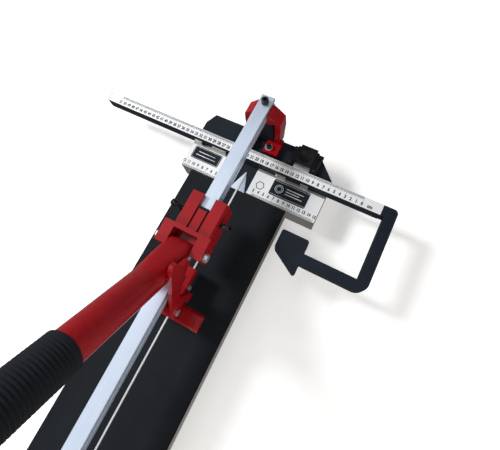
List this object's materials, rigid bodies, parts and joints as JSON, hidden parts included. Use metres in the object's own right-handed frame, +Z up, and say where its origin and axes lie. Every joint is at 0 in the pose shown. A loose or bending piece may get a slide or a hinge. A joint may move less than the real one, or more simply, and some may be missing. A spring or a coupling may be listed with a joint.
{
  "type": "tile cutter",
  "caption": "Manual bench tile cutter: padded bed, scaled fence with sliding ruler stop, overhead rail, and a roller carriage whose lever carries the scoring wheel and breaker foot.",
  "frame": {"origin": "on the ground under the middle of the bed, at the underside of the middle foot strip", "axes": "+X across the bed to the operator's right, +Y along the rail towards the fence head, +Z up"},
  "size_m": [0.601, 1.106, 0.4323],
  "materials": {
    "red_enamel": "gloss enamel",
    "black_coat": "fine satin powder coat",
    "aluminium": "brushed anodised",
    "rail_aluminium": "smooth anodised",
    "rubber": "fine moulded grain",
    "scale_white": "satin white with printed marks",
    "steel": "zinc plated",
    "dark_steel": "black oxide",
    "nylon": "moulded",
    "carbide": "ground"
  },
  "bodies": {
    "base": {"bed_profile": "aluminium", "left_rubber_pad": "rubber", "right_rubber_pad": "rubber", "breaking_ridge": "steel", "front_foot_strip": "rubber", "middle_foot_strip": "rubber", "rear_foot_strip": "rubber", "head_block": "aluminium", "head_plate": "black_coat", "notch_insert": "black_coat", "pointer_plate": "aluminium", "left_fence_block": "aluminium", "left_scale_plate": "scale_white", "right_fence_block": "aluminium", "right_scale_plate": "scale_white", "left_ruler_guide": "aluminium", "right_ruler_guide": "aluminium", "front_block": "aluminium", "front_plate": "black_coat", "rail": "rail_aluminium", "rear_bracket": "red_enamel", "rear_rail_post": "black_coat", "rear_rail_bolt": "dark_steel", "rear_left_bracket_bolt": "steel", "rear_right_bracket_bolt": "steel", "front_bracket": "red_enamel", "front_rail_post": "black_coat", "front_rail_bolt": "dark_steel", "front_left_bracket_bolt": "steel", "front_right_bracket_bolt": "steel", "latch_housing": "nylon"},
    "carriage": {"carriage_body": "red_enamel", "yoke": "red_enamel", "lever_pivot_pin": "steel", "rail_wiper": "rubber", "rear_right_roller": "steel", "rear_right_roller_screw": "dark_steel", "rear_left_roller": "steel", "rear_left_roller_screw": "dark_steel", "front_right_roller": "steel", "front_right_roller_screw": "dark_steel", "front_left_roller": "steel", "front_left_roller_screw": "dark_steel"},
    "lever": {"lever_tube": "red_enamel", "handle_grip": "rubber", "left_side_plate": "red_enamel", "right_side_plate": "red_enamel", "wheel_holder": "red_enamel", "wheel_axle_bolt": "steel", "foot_pivot_pin": "steel"},
    "foot": {"breaker_foot": "red_enamel", "left_foot_pad": "rubber", "right_foot_pad": "rubber"},
    "wheel": {"scoring_wheel": "carbide"},
    "ruler": {"ruler_bar": "black_coat", "ruler_scale": "scale_white", "ruler_end_cap": "nylon", "stop_arm": "black_coat"},
    "latch": {"latch_slider": "nylon", "latch_tongue": "steel"}
  },
  "joints": [
    {"name": "carriage_slide", "type": "slide", "parent": "base", "child": "carriage", "axis": [0, 1, 0], "range_m": [-0.6, 0.165]},
    {"name": "lever_pivot", "type": "hinge", "parent": "carriage", "child": "lever", "pos_m": [0, 0.262, 0.177], "axis": [1, 0, 0], "range_deg": [-3, 18]},
    {"name": "foot_pivot", "type": "hinge", "parent": "lever", "child": "foot", "pos_m": [0, 0.173, 0.122], "axis": [1, 0, 0], "range_deg": [-10, 10]},
    {"name": "wheel_spin", "type": "hinge", "parent": "lever", "child": "wheel", "pos_m": [0, 0.212, 0.088], "axis": [1, 0, 0], "continuous": true},
    {"name": "ruler_slide", "type": "slide", "parent": "base", "child": "ruler", "axis": [1, 0, 0], "range_m": [-0.08, 0.18]},
    {"name": "latch_slide", "type": "slide", "parent": "base", "child": "latch", "axis": [0, 1, 0], "range_m": [0, 0.005]}
  ]
}
